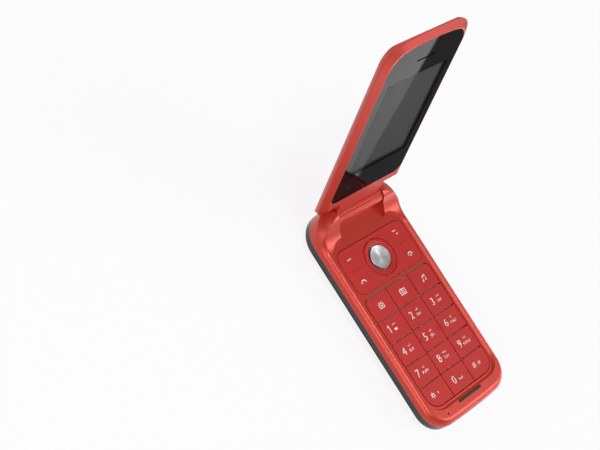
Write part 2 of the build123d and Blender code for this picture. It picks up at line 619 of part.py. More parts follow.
# Camera behind its hole in the cover
camera_z = CAMERA_STACK_Z + CAMERA_BEZEL
camera_floor_z = camera_z + CAMERA_EYE_DEPTH
camera = Pos(CAMERA_X, CAMERA_Y, (camera_z + UNDER_Z) / 2) * Box(CAMERA_BODY, CAMERA_BODY, UNDER_Z - camera_z)
camera -= post(CAMERA_LENS_R * 0.55, CAMERA_X, CAMERA_Y, 0, camera_floor_z)
eye = Cone(CAMERA_LENS_R * 0.45, CAMERA_LENS_R * 0.3, CAMERA_EYE)
parts["camera_module"] = camera + Pos(CAMERA_X, CAMERA_Y, camera_floor_z) * eye
window_z = CAMERA_STACK_Z + CAMERA_LENS_STEP
window_top_z = window_z + CAMERA_LENS_THICK
bezel = post(CAMERA_HOLE_R - FIT_GAP, CAMERA_X, CAMERA_Y, CAMERA_STACK_Z, camera_z)
bezel -= post(CAMERA_LENS_R + LED_FIT, CAMERA_X, CAMERA_Y, 0, window_top_z)
bezel -= post(CAMERA_LENS_R * 0.6, CAMERA_X, CAMERA_Y, 0, camera_z + 1)
parts["camera_bezel"] = bezel
parts["camera_window"] = post(CAMERA_LENS_R, CAMERA_X, CAMERA_Y, window_z, window_top_z)

# Loudspeaker behind the grille
speaker_z = COVER_WALL + SPEAKER_GAP
speaker_plan = RectangleRounded(SPEAKER_WIDTH, SPEAKER_LENGTH, SPEAKER_CORNER_R)
cone_plan = RectangleRounded(SPEAKER_WIDTH - 2 * SPEAKER_RIM, SPEAKER_LENGTH - 2 * SPEAKER_RIM, SPEAKER_RIM_R)
speaker = prism(speaker_plan, speaker_z, UNDER_Z) - prism(cone_plan, 0, speaker_z + SPEAKER_CONE)
parts["loudspeaker"] = Pos(GRILLE_X, GRILLE_Y) * speaker

# Card holders between the battery and the camera
card_z = UNDER_Z - CARD_HOLDER
card_x = CARD_LEFT_ROOM - HALF_W
card_high_y = CARD_Y + CARD_LENGTH
card_widths = {"sim_holder_1": SIM_WIDTH, "sim_holder_2": SIM_WIDTH, "memory_card_slot": MEMORY_WIDTH}
for name, width in card_widths.items():
    end_x = card_x + width
    slot_z = card_z + CARD_SHEET
    window_x = card_x + CARD_WINDOW_SIDE
    window_end_x = end_x - CARD_WINDOW_SIDE
    holder = slab(card_x, end_x, CARD_Y, card_high_y, card_z, UNDER_Z)
    slot_end_y = card_high_y - CARD_END
    holder -= slab(card_x + CARD_SIDE, end_x - CARD_SIDE, 0, slot_end_y, slot_z, slot_z + CARD_SLOT)
    holder -= slab(window_x, window_end_x, 0, card_high_y - CARD_WINDOW_END, 0, slot_z)
    parts[name] = holder
    card_x = end_x + CARD_SPACING

# Small parts round the toe
parts["microphone"] = post(MIC_R, mic_x, mic_y, BOARD_TOP_Z + SEAM_GAP, DECK_UNDER_Z - SEAM_GAP)
motor_y = TOE_Y + MOTOR_TOE_STEP
motor_z = UNDER_Z - MOTOR_R
motor_end_x = MOTOR_X + MOTOR_LENGTH / 2
motor = rod(MOTOR_R, MOTOR_X - MOTOR_LENGTH / 2, motor_end_x, motor_y, motor_z)
weight = rod(MOTOR_R - MOTOR_WEIGHT_STEP, motor_end_x, motor_end_x + MOTOR_WEIGHT, motor_y, motor_z)
weight -= slab(0, HALF_W, motor_y - MOTOR_R, motor_y + MOTOR_R, 0, motor_z)
parts["vibration_motor"] = motor + weight
antenna_y = TOE_Y + ANTENNA_TOE_STEP
antenna_end_x = ANTENNA_X + ANTENNA_WIDTH
antenna_high_y = antenna_y + ANTENNA_LENGTH
parts["antenna"] = slab(ANTENNA_X, antenna_end_x, antenna_y, antenna_high_y, UNDER_Z - ANTENNA_THICK, UNDER_Z)

# Spring contacts at the end of the battery
contacts = slab(
    -CONTACT_WIDTH / 2,
    CONTACT_WIDTH / 2,
    CONTACT_Y,
    CONTACT_Y + WELL_WALL,
    UNDER_Z - CONTACT_DEPTH,
    UNDER_Z,
)
slot_low_z = UNDER_Z - CONTACT_DEPTH + CONTACT_EDGE_LOW
for i in range(CONTACT_SLOTS):
    slot_x = (i - (CONTACT_SLOTS - 1) / 2) * CONTACT_PITCH - CONTACT_SLOT / 2
    slot_end_y = CONTACT_Y + CONTACT_SLOT_DEPTH
    contacts -= slab(slot_x, slot_x + CONTACT_SLOT, 0, slot_end_y, slot_low_z, UNDER_Z - CONTACT_EDGE_HIGH)
parts["battery_contacts"] = contacts

# Screws that hold chassis and front case together
screws = []
for x, y in screw_places:
    screw = stud(SCREW_HEAD_R, x, y, CHASSIS_Z - SCREW_HEAD, CHASSIS_Z)
    screw += stud(SCREW_R - PRESS_GAP, x, y, CHASSIS_Z - SCREW_HEAD, DECK_UNDER_Z)
    screws += screw.solids()
parts["chassis_screws"] = Compound(screws)

# Battery, lifted out once the cover is off
battery_top_z = CHASSIS_Z - BATTERY_GAP
battery_low_z = battery_top_z - BATTERY_THICK
battery = slab(-BATTERY_HALF, BATTERY_HALF, BATTERY_LOW_Y, BATTERY_HIGH_Y, battery_low_z, battery_top_z)
parts["battery"] = fillet(battery.edges().filter_by(Axis.Y), BATTERY_EDGE_R)

# ---------------------------------------------------------------- hinge pieces fixed to the base
bush = rod(BUSH_R, -EAR_INNER_X - BUSH_REACH, BUSH_REACH - BARREL_HALF, HINGE_Y, HINGE_Z)
parts["hinge_bush"] = bush - rod(BUSH_BORE_R, -HALF_W, 0, HINGE_Y, HINGE_Z)
shaft = Pos(EAR_INNER_X + SHAFT_HEAD / 2, HINGE_Y, HINGE_Z) * Box(SHAFT_HEAD, SHAFT_KEY, SHAFT_KEY)
shaft += rod(SHAFT_R, BARREL_HALF - SHAFT_REACH, EAR_INNER_X + SHAFT_HEAD / 2, HINGE_Y, HINGE_Z)
parts["hinge_shaft"] = shaft

# ---------------------------------------------------------------- function plate, ring and button
plate_low_z = KEY_UNDER_Z + PLATE_LIFT
ring_room_r = RING_R + ROUND_GAP
plate = prism(plate_plan, plate_low_z, KEY_TOP_Z)
plate = chamfer(plate.edges().group_by(Axis.Z)[-1], KEY_CHAMFER)
ridge_x = PLATE_HALF - RIDGE_EDGE_STEP
ridge = Pos(0, 0, KEY_TOP_Z) * Box(RIDGE_LENGTH, RIDGE_WIDTH, 2 * RIDGE_HEIGHT)
ridge = chamfer(ridge.edges().group_by(Axis.Z)[-1], RIDGE_HEIGHT / 2)
plate += [Pos(x, NAV_Y) * ridge for x in (-ridge_x, ridge_x)]
parts["function_plate"] = plate - post(ring_room_r, 0, NAV_Y, 0, EAR_TOP_Z)
plate_pad_r = ring_room_r + PIVOT_WIDTH + PIVOT_RIM
plate_lift = plate_pad_r * sin(radians(PLATE_ROCK_DEG)) + PIVOT_CLEAR
plate_pad = post(plate_pad_r, 0, NAV_Y, MAT_TOP_Z + plate_lift, plate_low_z - plate_lift)
parts["function_plate_pad"] = plate_pad - post(ring_room_r + PIVOT_RIM, 0, NAV_Y, 0, EAR_TOP_Z)

# Navigation ring: a shallow dome with a raised bead round its rim
ring_low_z = KEY_UNDER_Z + RING_LIFT
ring_top_z = KEY_TOP_Z + RING_PROUD
bead_foot_z = ring_top_z - RING_BEAD_EDGE
ring_half = make_face(
    Polyline(
        (RING_BORE_R, ring_low_z),
        (RING_R, ring_low_z),
        (RING_R, bead_foot_z),
        (RING_R - RING_BEAD_EDGE, ring_top_z),
        (RING_R - RING_BEAD + RING_BEAD_EDGE, ring_top_z),
        (RING_R - RING_BEAD, bead_foot_z),
        (RING_BORE_R + 2 * RING_SLOPE, bead_foot_z - RING_SLOPE),
        (RING_BORE_R, bead_foot_z - 2 * RING_SLOPE),
        close=True,
    )
)
parts["nav_ring"] = Pos(0, NAV_Y) * revolve(Plane.XZ * ring_half, Axis.Z)
ring_pad_r = RING_BORE_R + PIVOT_WIDTH
ring_lift = ring_pad_r * sin(radians(RING_ROCK_DEG)) + PIVOT_CLEAR
ring_pad = post(ring_pad_r, 0, NAV_Y, MAT_TOP_Z + ring_lift, ring_low_z - ring_lift)
parts["nav_ring_pad"] = ring_pad - post(RING_BORE_R, 0, NAV_Y, 0, EAR_TOP_Z)

# Select button: a turned metal cap with a dished face
select = post(SELECT_R, 0, NAV_Y, KEY_UNDER_Z, ring_top_z)
select = chamfer(select.edges().group_by(Axis.Z)[-1], KEY_CHAMFER)
dish_r = (SELECT_R**2 + SELECT_DISH**2) / (2 * SELECT_DISH)
parts["select_button"] = select - Pos(0, NAV_Y, ring_top_z + dish_r - SELECT_DISH) * Sphere(dish_r)

# Number pad: fifteen flush keys cut from one rounded outline
key_names = ["tool", "camera", "music", "1", "2", "3", "4", "5", "6", "7", "8", "9", "star", "0", "hash"]
key_field = offset(pad_plan, amount=-KEY_GAP / 2)
for name, (x, y) in zip(key_names, key_places):
    cell = Pos(x, y) * Rectangle(KEY_PITCH_X - KEY_GAP, KEY_PITCH_Y - KEY_GAP)
    key = prism(cell & key_field, KEY_UNDER_Z, KEY_TOP_Z)
    key = chamfer(key.edges().group_by(Axis.Z)[-1], KEY_CHAMFER)
    if name == "5":
        pip_x = KEY_PITCH_X / 2 - PIP_EDGE_STEP
        pip = Pos(x, y, KEY_TOP_Z) * Box(PIP_WIDTH, PIP_LENGTH, 2 * PIP_HEIGHT)
        key += [Pos(-pip_x) * pip, Pos(pip_x) * pip]
    parts["key_" + name] = key

# ---------------------------------------------------------------- lid, drawn shut
tip_y = TOE_Y + LID_TIP_STEP
heel_y = HINGE_Y - LID_HEEL
lid_half = HALF_W - LID_SIDE_STEP
lens_half = lid_half - LENS_MARGIN
lens_low_y = tip_y + LENS_MARGIN
lens_high_y = HINGE_Y - LENS_FROM_AXIS
lid_plan = outline(lid_half, tip_y, heel_y, LID_TIP_R, LID_HEEL_R, LID_TIP_BOW, LID_HEEL_BOW)
lens_plan = outline(lens_half, lens_low_y, lens_high_y, LENS_TIP_R, LENS_HEEL_R, LENS_BOW)
shell_z = SEAM_Z + SEAM_GAP
shell_height = LID_BACK_Z - SEAM_Z

# Outside of the lid: long edges rolled, with a longer roll at the tip
roll_inset = LID_EDGE_R - sqrt(LID_EDGE_R**2 - (LID_EDGE_R - shell_height) ** 2)
back_plan = outline(lid_half + roll_inset, tip_y - roll_inset, HEAD_Y, LID_TIP_R, LID_TIP_R, LID_TIP_BOW)
lid_back = prism(back_plan, LID_BACK_Z - 2 * LID_EDGE_R, LID_BACK_Z)
lid_back = fillet(lid_back.edges().group_by(Axis.Z)[-1], LID_EDGE_R)
tip_roll_y = tip_y + sqrt(LID_TIP_ROLL**2 - (LID_TIP_ROLL - shell_height) ** 2)
under = rod(LID_TIP_ROLL, -FAR, FAR, tip_roll_y, LID_BACK_Z - LID_TIP_ROLL)
under += slab(-FAR, FAR, tip_roll_y, FAR, 0, LID_BACK_Z)

# Room inside: flat, with sloped corners along the sides and the tip
room_top_z = LID_BACK_Z - LID_WALL
shell_room = prism(offset(lid_plan, amount=-LID_WALL), SEAM_Z, room_top_z)
shell_room = chamfer(shell_room.edges().group_by(Axis.Z)[-1], LID_ROOM_DROP, LID_ROOM_SIDE)
tip_room_y = tip_y + LID_WALL
tip_side = make_face(
    Polyline(
        (tip_room_y, SEAM_Z),
        (tip_room_y, room_top_z - LID_ROOM_TIP_DROP),
        (tip_room_y + LID_ROOM_TIP, room_top_z),
        (HEAD_Y, room_top_z),
        (HEAD_Y, SEAM_Z),
        close=True,
    )
)
shell_room &= extrude(Plane.YZ * tip_side, FAR, both=True)

# Outer shell, cut back at the heel so that it clears the ears and the barrel
clear_half = EAR_INNER_X - FIT_GAP
wall_clear = clear_half - LID_WALL
ear_room = extrude(hinge_side(LID_EAR_GAP, 0), FAR, both=True)
ear_room -= slab(-clear_half, clear_half, -FAR, FAR, -FAR, FAR)
ear_wall = extrude(hinge_side(LID_EAR_GAP + LID_WALL, 0), FAR, both=True)
ear_wall -= slab(-wall_clear, wall_clear, -FAR, FAR, -FAR, FAR)
flex_low_x = BUSH_REACH - BARREL_HALF
unit_x = BARREL_HALF - CAM_UNIT_INSET
flex_x = unit_x - CAM_UNIT_LENGTH - FLEX_UNIT_GAP
flex_slot_y = heel_y - LID_HEEL
neck_y = heel_y - LID_HEEL_BOW - LID_HEEL_R
barrel_y = HINGE_Y - BARREL_R / 2
flex_slot_z = SEAM_Z - SEAM_GAP
flex_slot_top_z = HINGE_Z + FLEX_ROLL_R + FLEX_ROOM
flex_slot = slab(
    flex_low_x - FLEX_ROOM,
    flex_x + FLEX_ROOM,
    flex_slot_y,
    barrel_y,
    flex_slot_z,
    flex_slot_top_z,
)
led_y = HINGE_Y - LED_FROM_AXIS
led_plan = Pos(0, led_y) * SlotOverall(LED_LENGTH, LED_WIDTH)
lid_shell = lid_back & under & prism(lid_plan, shell_z, LID_BACK_Z)
lid_shell -= shell_room - [ear_wall, rod(BARREL_R + LID_WALL, -HALF_W, HALF_W, HINGE_Y, HINGE_Z)]
lid_shell -= [ear_room, rod(BARREL_R + SEAM_GAP, -HALF_W, HALF_W, HINGE_Y, HINGE_Z), flex_slot]
lid_shell -= prism(offset(led_plan, amount=LED_FIT), room_top_z - LED_FLANGE, LID_BACK_Z + 1)
parts["lid_shell"] = lid_shell
led = prism(led_plan, room_top_z - LED_FLANGE, LID_BACK_Z)
led_low_z = room_top_z - LED_FIT - LED_FLANGE
led_flange = prism(offset(led_plan, amount=LED_FLANGE), led_low_z, room_top_z - LED_FIT)
parts["led_window"] = led + led_flange

# Inner frame with the hinge barrel
lid_frame = prism(lid_plan, LENS_Z, SEAM_Z)
lid_frame = chamfer(lid_frame.edges().group_by(Axis.Z)[0], RIM_DROP, LENS_MARGIN - RIM_LIP)
lid_frame += slab(-BARREL_HALF, BARREL_HALF, neck_y, barrel_y, LENS_Z, SEAM_Z)
lid_frame -= ear_room
lid_frame += rod(BARREL_R, -BARREL_HALF, BARREL_HALF, HINGE_Y, HINGE_Z)
groove_y = HINGE_Y - BARREL_R * cos(radians(GROOVE_ANGLE))
groove_z = HINGE_Z - BARREL_R * sin(radians(GROOVE_ANGLE))
barrel_bore_r = BARREL_R - BARREL_WALL
lid_frame -= rod(GROOVE_R, -BARREL_HALF, BARREL_HALF, groove_y, groove_z)
lid_frame -= rod(BUSH_R + RUNNING_GAP, -BARREL_HALF - 1, 0, HINGE_Y, HINGE_Z)
lid_frame -= rod(barrel_bore_r, flex_low_x + BARREL_GAP, BARREL_HALF + 1, HINGE_Y, HINGE_Z)
lens_seat = prism(offset(lens_plan, amount=LENS_FIT), 0, LENS_Z + LENS_THICK)
lcd_half = lens_half - LCD_SIDE_STEP
lcd_low_y = lens_low_y + LCD_TIP_STEP
lcd_high_y = lens_high_y - LCD_HEEL_STEP
opening_half = lcd_half - LCD_LEDGE
opening = slab(-opening_half, opening_half, lcd_low_y + LCD_LEDGE, lcd_high_y - LCD_LEDGE, 0, LID_BACK_Z)
earpiece_y = lens_low_y + EARPIECE_STEP
slot = prism(Pos(0, earpiece_y) * SlotOverall(EARPIECE_SLOT, EARPIECE_SLOT_WIDTH), 0, LID_BACK_Z)
parts["lid_frame"] = lid_frame - [lens_seat, opening, slot, flex_slot]

# Display lens, display, earpiece, board and magnet
parts["display_lens"] = prism(lens_plan, LENS_Z, LENS_Z + LENS_THICK) - slot
lcd_top_z = shell_z + LCD_THICK
parts["lcd_panel"] = slab(-lcd_half, lcd_half, lcd_low_y, lcd_high_y, shell_z, lcd_top_z)
earpiece_length = EARPIECE_SLOT + 2 * EARPIECE_MARGIN
mouth_length = EARPIECE_SLOT - 2 * EARPIECE_MARGIN
earpiece_plan = Pos(0, earpiece_y) * RectangleRounded(earpiece_length, EARPIECE_WIDTH, EARPIECE_CORNER_R)
earpiece = prism(earpiece_plan, shell_z, shell_z + EARPIECE_THICK)
mouth_plan = Pos(0, earpiece_y) * SlotOverall(mouth_length, EARPIECE_MOUTH)
parts["earpiece"] = earpiece - prism(mouth_plan, 0, shell_z + EARPIECE_MOUTH_DEPTH)
board_half = lcd_half - LID_BOARD_STEP
board_z = lcd_top_z + SEAM_GAP
board_end_y = led_y - LED_WIDTH
parts["lid_board"] = slab(-board_half, board_half, lcd_low_y, board_end_y, board_z, board_z + LID_BOARD_THICK)
magnet_x = MAGNET_SIDE_STEP - lid_half
magnet = Box(MAGNET_LENGTH, MAGNET_WIDTH, MAGNET_THICK)
parts["lid_magnet"] = Pos(magnet_x, tip_y + MAGNET_TIP_STEP, shell_z + MAGNET_THICK / 2) * magnet

# Spring hinge unit in the barrel, and the flexible circuit that leaves through the bush
unit = rod(barrel_bore_r - LED_FIT, unit_x - CAM_UNIT_LENGTH, unit_x, HINGE_Y, HINGE_Z)
unit -= rod(SHAFT_R + RUNNING_GAP, unit_x - SHAFT_REACH - 1, BARREL_HALF, HINGE_Y, HINGE_Z)
parts["hinge_cam_unit"] = unit
flex_z = HINGE_Z + FLEX_ROLL_R
flex_low_z = flex_z - FLEX_THICK
flex_end_y = board_end_y - FLEX_LAP
flex = rod(FLEX_ROLL_R, -EAR_INNER_X - BUSH_REACH - FLEX_REACH, flex_x, HINGE_Y, HINGE_Z)
flex += slab(flex_low_x, flex_x, flex_end_y, HINGE_Y, flex_low_z, flex_z)
flex += slab(flex_low_x, flex_x, flex_end_y, flex_end_y + FLEX_THICK, flex_low_z, board_z)
parts["hinge_flex"] = flex - rod(FLEX_ROLL_R - FLEX_THICK, -FAR, FAR, HINGE_Y, HINGE_Z)

# Stand the lid open
lid_names = ["lid_shell", "led_window", "lid_frame", "display_lens", "lcd_panel", "earpiece"]
lid_names += ["lid_board", "lid_magnet", "hinge_cam_unit", "hinge_flex"]
stand = Pos(0, HINGE_Y, HINGE_Z) * Rot(X=-LID_OPEN_DEG) * Pos(0, -HINGE_Y, -HINGE_Z)
for name in lid_names:
    parts[name] = stand * parts[name]

os.makedirs("parts", exist_ok=True)
for name, shape in parts.items():
    export_step(shape, "parts/" + name + ".step")
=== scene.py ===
from math import cos, radians, sin, tau

import bmesh
import bpy
from mathutils import Matrix, Vector


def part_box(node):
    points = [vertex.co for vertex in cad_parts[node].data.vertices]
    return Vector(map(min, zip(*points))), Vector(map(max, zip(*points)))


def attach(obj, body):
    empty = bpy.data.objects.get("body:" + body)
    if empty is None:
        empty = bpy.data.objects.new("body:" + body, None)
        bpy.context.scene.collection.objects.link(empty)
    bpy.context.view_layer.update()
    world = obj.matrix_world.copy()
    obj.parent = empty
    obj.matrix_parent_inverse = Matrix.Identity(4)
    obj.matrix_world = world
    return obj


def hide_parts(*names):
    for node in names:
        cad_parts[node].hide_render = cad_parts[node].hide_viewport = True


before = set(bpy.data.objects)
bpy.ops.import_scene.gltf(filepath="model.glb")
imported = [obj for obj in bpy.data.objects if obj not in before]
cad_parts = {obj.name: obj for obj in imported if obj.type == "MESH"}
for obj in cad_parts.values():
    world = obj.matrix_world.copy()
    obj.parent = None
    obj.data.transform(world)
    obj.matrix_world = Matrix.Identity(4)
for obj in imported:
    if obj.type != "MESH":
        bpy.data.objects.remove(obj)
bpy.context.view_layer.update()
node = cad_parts
mm = 0.001

# ------------------------------------------------------------------ viewpoint
# The phone lies on its back with the lid up, seen from above its left shoulder
# through a long lens, so that keys, lens and left flank all show.
viewpoint = bpy.data.objects.new("camera", bpy.data.cameras.new("camera"))
bpy.context.scene.collection.objects.link(viewpoint)
viewpoint.data.sensor_width = 36.0
viewpoint.data.lens = 76.62
viewpoint.data.clip_start = 10 * mm
viewpoint.matrix_world = Matrix((
    (0.68486, 0.37470, -0.62496, -0.36354),
    (-0.53527, 0.84064, -0.08257, 0.00762),
    (0.49442, 0.39107, 0.77628, 0.42735),
    (0.0, 0.0, 0.0, 1.0),
))
bpy.context.scene.camera = viewpoint


# ------------------------------------------------------------------ red housing
# Front case, rear cover and both halves of the lid are moulded plastic sprayed
# with a red lacquer that carries fine mica, under a clear satin top coat.
class Wire:
    """A socket of a finish. Arithmetic on it adds Math nodes."""

    def __init__(self, finish, socket):
        self.finish = finish
        self.socket = socket

    def sum(self, operation, *values):
        return self.finish.node("ShaderNodeMath", {"operation": operation}, dict(enumerate(values)))

    def __add__(self, other):
        return self.sum("ADD", self, other)

    def __radd__(self, other):
        return self.sum("ADD", other, self)

    def __sub__(self, other):
        return self.sum("SUBTRACT", self, other)

    def __rsub__(self, other):
        return self.sum("SUBTRACT", other, self)

    def __mul__(self, other):
        return self.sum("MULTIPLY", self, other)

    def __rmul__(self, other):
        return self.sum("MULTIPLY", other, self)

    def __gt__(self, other):
        return self.sum("GREATER_THAN", self, other)

    def __lt__(self, other):
        return self.sum("LESS_THAN", self, other)

    def __abs__(self):
        return self.sum("ABSOLUTE", self)


class Finish:
    """One material, put together node by node."""

    def __init__(self, name):
        self.material = bpy.data.materials.new(name)
        self.material.use_nodes = True
        self.tree = self.material.node_tree
        self.tree.nodes.clear()

    def node(self, kind, settings=None, sockets=None, out=0):
        made = self.tree.nodes.new(kind)
        for key, value in (settings or {}).items():
            setattr(made, key, value)
        for key, value in (sockets or {}).items():
            if isinstance(value, Wire):
                self.tree.links.new(value.socket, made.inputs[key])
            else:
                made.inputs[key].default_value = value
        return Wire(self, made.outputs[out]) if made.outputs else made

    def place(self):
        return self.node("ShaderNodeTexCoord", out="Object")

    def axis(self, letter):
        return self.node("ShaderNodeSeparateXYZ", sockets={0: self.place()}, out=letter)

    def grain(self, size, detail=2.0, roughness=0.5, stretch=(1, 1, 1)):
        spread = self.node("ShaderNodeMapping", sockets={0: self.place(), "Scale": stretch})
        wants = {"Vector": spread, "Scale": 1 / size, "Detail": detail, "Roughness": roughness}
        return self.node("ShaderNodeTexNoise", sockets=wants)

    def blend(self, share, first, second):
        wants = {"Factor": share, 6: first, 7: second}
        return self.node("ShaderNodeMix", {"data_type": "RGBA"}, wants, out=2)

    def bump(self, height, distance):
        return self.node("ShaderNodeBump", sockets={"Height": height, "Distance": distance, "Strength": 1.0})

    def shade(self, **values):
        wants = {key.replace("_", " "): value for key, value in values.items()}
        return self.node("ShaderNodeBsdfPrincipled", sockets=wants)

    def finish(self, shader):
        self.node("ShaderNodeOutputMaterial", sockets={"Surface": shader})
        return self.material


def dress(material, *names):
    for name in names:
        node[name].data.materials.clear()
        node[name].data.materials.append(material)


FLAKE_SIZE = 0.14 * mm
PEEL_SIZE = 1.4 * mm
PEEL_DEPTH = 0.001 * mm


def red_lacquer():
    f = Finish("red_lacquer")
    flake = f.grain(FLAKE_SIZE, detail=1.0)
    cloud = f.grain(18 * mm)
    tone = f.blend(flake, (0.53, 0.037, 0.019, 1), (0.58, 0.044, 0.025, 1))
    tone = f.blend(cloud * 0.25, tone, (0.48, 0.028, 0.015, 1))
    peel = f.grain(PEEL_SIZE, detail=1.0)
    return f.finish(f.shade(
        Base_Color=tone,
        Metallic=0.4,
        Roughness=0.39 + 0.01 * flake,
        Coat_Weight=0.18,
        Coat_Roughness=0.24,
        Normal=f.bump(peel, PEEL_DEPTH),
    ))


dress(red_lacquer(), "front_case", "rear_cover", "lid_shell", "lid_frame")


# ------------------------------------------------------------------ keys and plate
# Fifteen keys, the plate above them and the rocking ring are moulded in red and
# left with a fine matt skin, so they look a shade deeper than the lacquer.
KEY_NAMES = "tool camera music 1 2 3 4 5 6 7 8 9 star 0 hash".split()


def key_skin():
    f = Finish("key_skin")
    skin = f.grain(0.12 * mm, detail=3.0, roughness=0.6)
    cloud = f.grain(9 * mm)
    tone = f.blend(cloud, (0.50, 0.022, 0.018, 1), (0.57, 0.029, 0.024, 1))
    return f.finish(f.shade(
        Base_Color=tone,
        Roughness=0.42 + 0.12 * skin,
        Specular_IOR_Level=0.3,
        Normal=f.bump(skin, 0.002 * mm),
    ))


dress(key_skin(), "function_plate", "nav_ring", *["key_" + name for name in KEY_NAMES])


# ------------------------------------------------------------------ white legends
# Digits, letters and signs are pad-printed on keys and plate in white ink, thick
# enough to stand a hair above the skin, and each is fixed to its own key.
INK_HIGH = 0.04 * mm
CAPITAL_SHARE = 0.69  # height of a capital as a share of the size of its letters
DIGIT_HIGH = 3.5  # this and the sizes below are in millimetres, as Print takes them
DIGIT_SQUEEZE = 0.86
DIGIT_BOLD = 0.03
LETTERS_HIGH = 1.2
FAINT_HIGH = 0.95


def white_ink():
    f = Finish("white_ink")
    wear = f.grain(0.25 * mm, detail=3.0)
    tone = f.blend(wear, (0.86, 0.66, 0.64, 1), (0.94, 0.84, 0.83, 1))
    return f.finish(f.shade(Base_Color=tone, Roughness=0.45 + 0.15 * wear))


ink = white_ink()


def as_mesh(b, name):
    mesh = bpy.data.meshes.new(name)
    b.to_mesh(mesh)
    b.free()
    return mesh


def keep(mesh, name, body, material):
    """A new piece of the phone, carried by a body."""
    piece = bpy.data.objects.new(name, mesh)
    bpy.context.scene.collection.objects.link(piece)
    mesh.materials.clear()
    mesh.materials.append(material)
    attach(piece, body)
    return piece


class Print:
    """Ink on one piece, drawn in millimetres round a place on its top."""

    def __init__(self, x, y, z):
        self.b = bmesh.new()
        self.place = Vector((x, y, z))

    def line(self, points, wide, closed=False):
        path = [Vector((x, y, 0)) for x, y in points]
        rims = []
        for i, here in enumerate(path):
            last = path[i - 1] if i or closed else here
            after = path[(i + 1) % len(path)] if closed or i + 1 < len(path) else here
            come = (here - last).normalized()
            go = (after - here).normalized()
            along = (come + go).normalized()
            mitre = max(0.5, along.dot(go if go.length else come))
            side = Vector((-along.y, along.x, 0)) * wide / 2 / mitre
            rims.append((self.b.verts.new(here + side), self.b.verts.new(here - side)))
        ends = rims[1:] + (rims[:1] if closed else [])
        for (first, second), (third, fourth) in zip(rims, ends):
            self.b.faces.new((first, second, fourth, third))

    def curve(self, x, y, reach_x, reach_y, start, end, wide, steps=10):
        turns = [radians(start + (end - start) * i / steps) for i in range(steps + 1)]
        self.line([(x + reach_x * cos(t), y + reach_y * sin(t)) for t in turns], wide)

    def dot(self, x, y, reach_x, reach_y, sides=14):
        place = Matrix.Translation((x, y, 0)) @ Matrix.Diagonal((reach_x, reach_y, 1, 1))
        bmesh.ops.create_circle(self.b, cap_ends=True, segments=sides, radius=1, matrix=place)

    def patch(self, x, y, wide, tall):
        self.line([(x - wide / 2, y), (x + wide / 2, y)], tall)

    def text(self, words, tall, x, y, squeeze=0.95, bold=0.02):
        curve = bpy.data.curves.new(words, "FONT")
        curve.body = words
        curve.size = tall / CAPITAL_SHARE
        curve.offset = bold
        curve.resolution_u = 3
        maker = bpy.data.objects.new(words, curve)
        bpy.context.scene.collection.objects.link(maker)
        seen = maker.evaluated_get(bpy.context.evaluated_depsgraph_get())
        mesh = bpy.data.meshes.new_from_object(seen)
        bpy.data.objects.remove(maker)
        wide = [v.co.x for v in mesh.vertices]
        high = [v.co.y for v in mesh.vertices]
        middle = Vector((min(wide) + max(wide), min(high) + max(high), 0)) / 2
        mesh.transform(Matrix.Diagonal((squeeze, 1, 1, 1)) @ Matrix.Translation(-middle))
        mesh.transform(Matrix.Translation((x, y, 0)))
        self.b.from_mesh(mesh)
        bpy.data.meshes.remove(mesh)

    def press(self, name, body):
        bmesh.ops.recalc_face_normals(self.b, faces=self.b.faces[:])
        for face in self.b.faces:
            if face.normal.z < 0:
                face.normal_flip()
        bmesh.ops.solidify(self.b, geom=self.b.faces[:], thickness=-INK_HIGH / mm)
        bmesh.ops.recalc_face_normals(self.b, faces=self.b.faces[:])
        mesh = as_mesh(self.b, name)
        mesh.transform(Matrix.Translation(self.place) @ Matrix.Diagonal((mm, mm, mm, 1)))
        return keep(mesh, name, body, ink)


key_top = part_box("key_2")[1].z
pad_high_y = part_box("key_tool")[1].y
pad_low_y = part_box("key_0")[0].y
KEY_ROWS = 5
KEY_COLUMNS = 3
KEY_GAP = 0.36 * mm
row_pitch = (pad_high_y - pad_low_y + KEY_GAP) / KEY_ROWS
column_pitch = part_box("key_2")[0].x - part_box("key_1")[0].x
prints = {}
for i, name in enumerate(KEY_NAMES):
    row, column = divmod(i, KEY_COLUMNS)
    middle_y = pad_high_y + KEY_GAP / 2 - (row + 0.5) * row_pitch
    prints[name] = Print((column - 1) * column_pitch, middle_y, key_top)

number_marks = {
    "2": ("ABC", "a-b"),
    "3": ("DEF", "c-d"),
    "4": ("GHI", "e-f"),
    "5": ("JKL", "g-h"),
    "6": ("MNO", "i-j"),
    "7": ("PQRS", "k-l"),
    "8": ("TUV", "m-n"),
    "9": ("WXYZ", "o-p"),
}
for name, (small, faint) in number_marks.items():
    prints[name].text(name, DIGIT_HIGH, -3.1, 0.4, DIGIT_SQUEEZE, DIGIT_BOLD)
    prints[name].text(small, LETTERS_HIGH, 1.0, -0.65)
    prints[name].text(faint, FAINT_HIGH, 1.05, 1.55)

# Key 1 has its digit drawn in lines and an envelope, key 0 a space bar, and the
# keys beside it a star and a hash.
prints["1"].line([(-4.0, 1.35), (-3.2, 2.1), (-3.2, -1.3)], 0.45)
prints["1"].patch(-0.1, -0.75, 1.7, 1.0)
prints["1"].line([(-0.95, 1.35), (-0.35, 1.7), (0.1, 1.5), (0.8, 1.7), (0.8, 1.2)], 0.22)
prints["0"].text("0", DIGIT_HIGH, -2.6, 0.3, DIGIT_SQUEEZE, DIGIT_BOLD)
prints["0"].line([(0.3, -0.3), (0.3, -0.9), (2.3, -0.9), (2.3, -0.3)], 0.3)
for turn in (90, 150, 210):
    reach_x, reach_y = 1.15 * cos(radians(turn)), 1.3 * sin(radians(turn))
    prints["star"].line([(-2.7 - reach_x, 0.2 - reach_y), (-2.7 + reach_x, 0.2 + reach_y)], 0.42)
prints["star"].line([(0.75, 0.5), (0.6, -0.3)], 0.4)
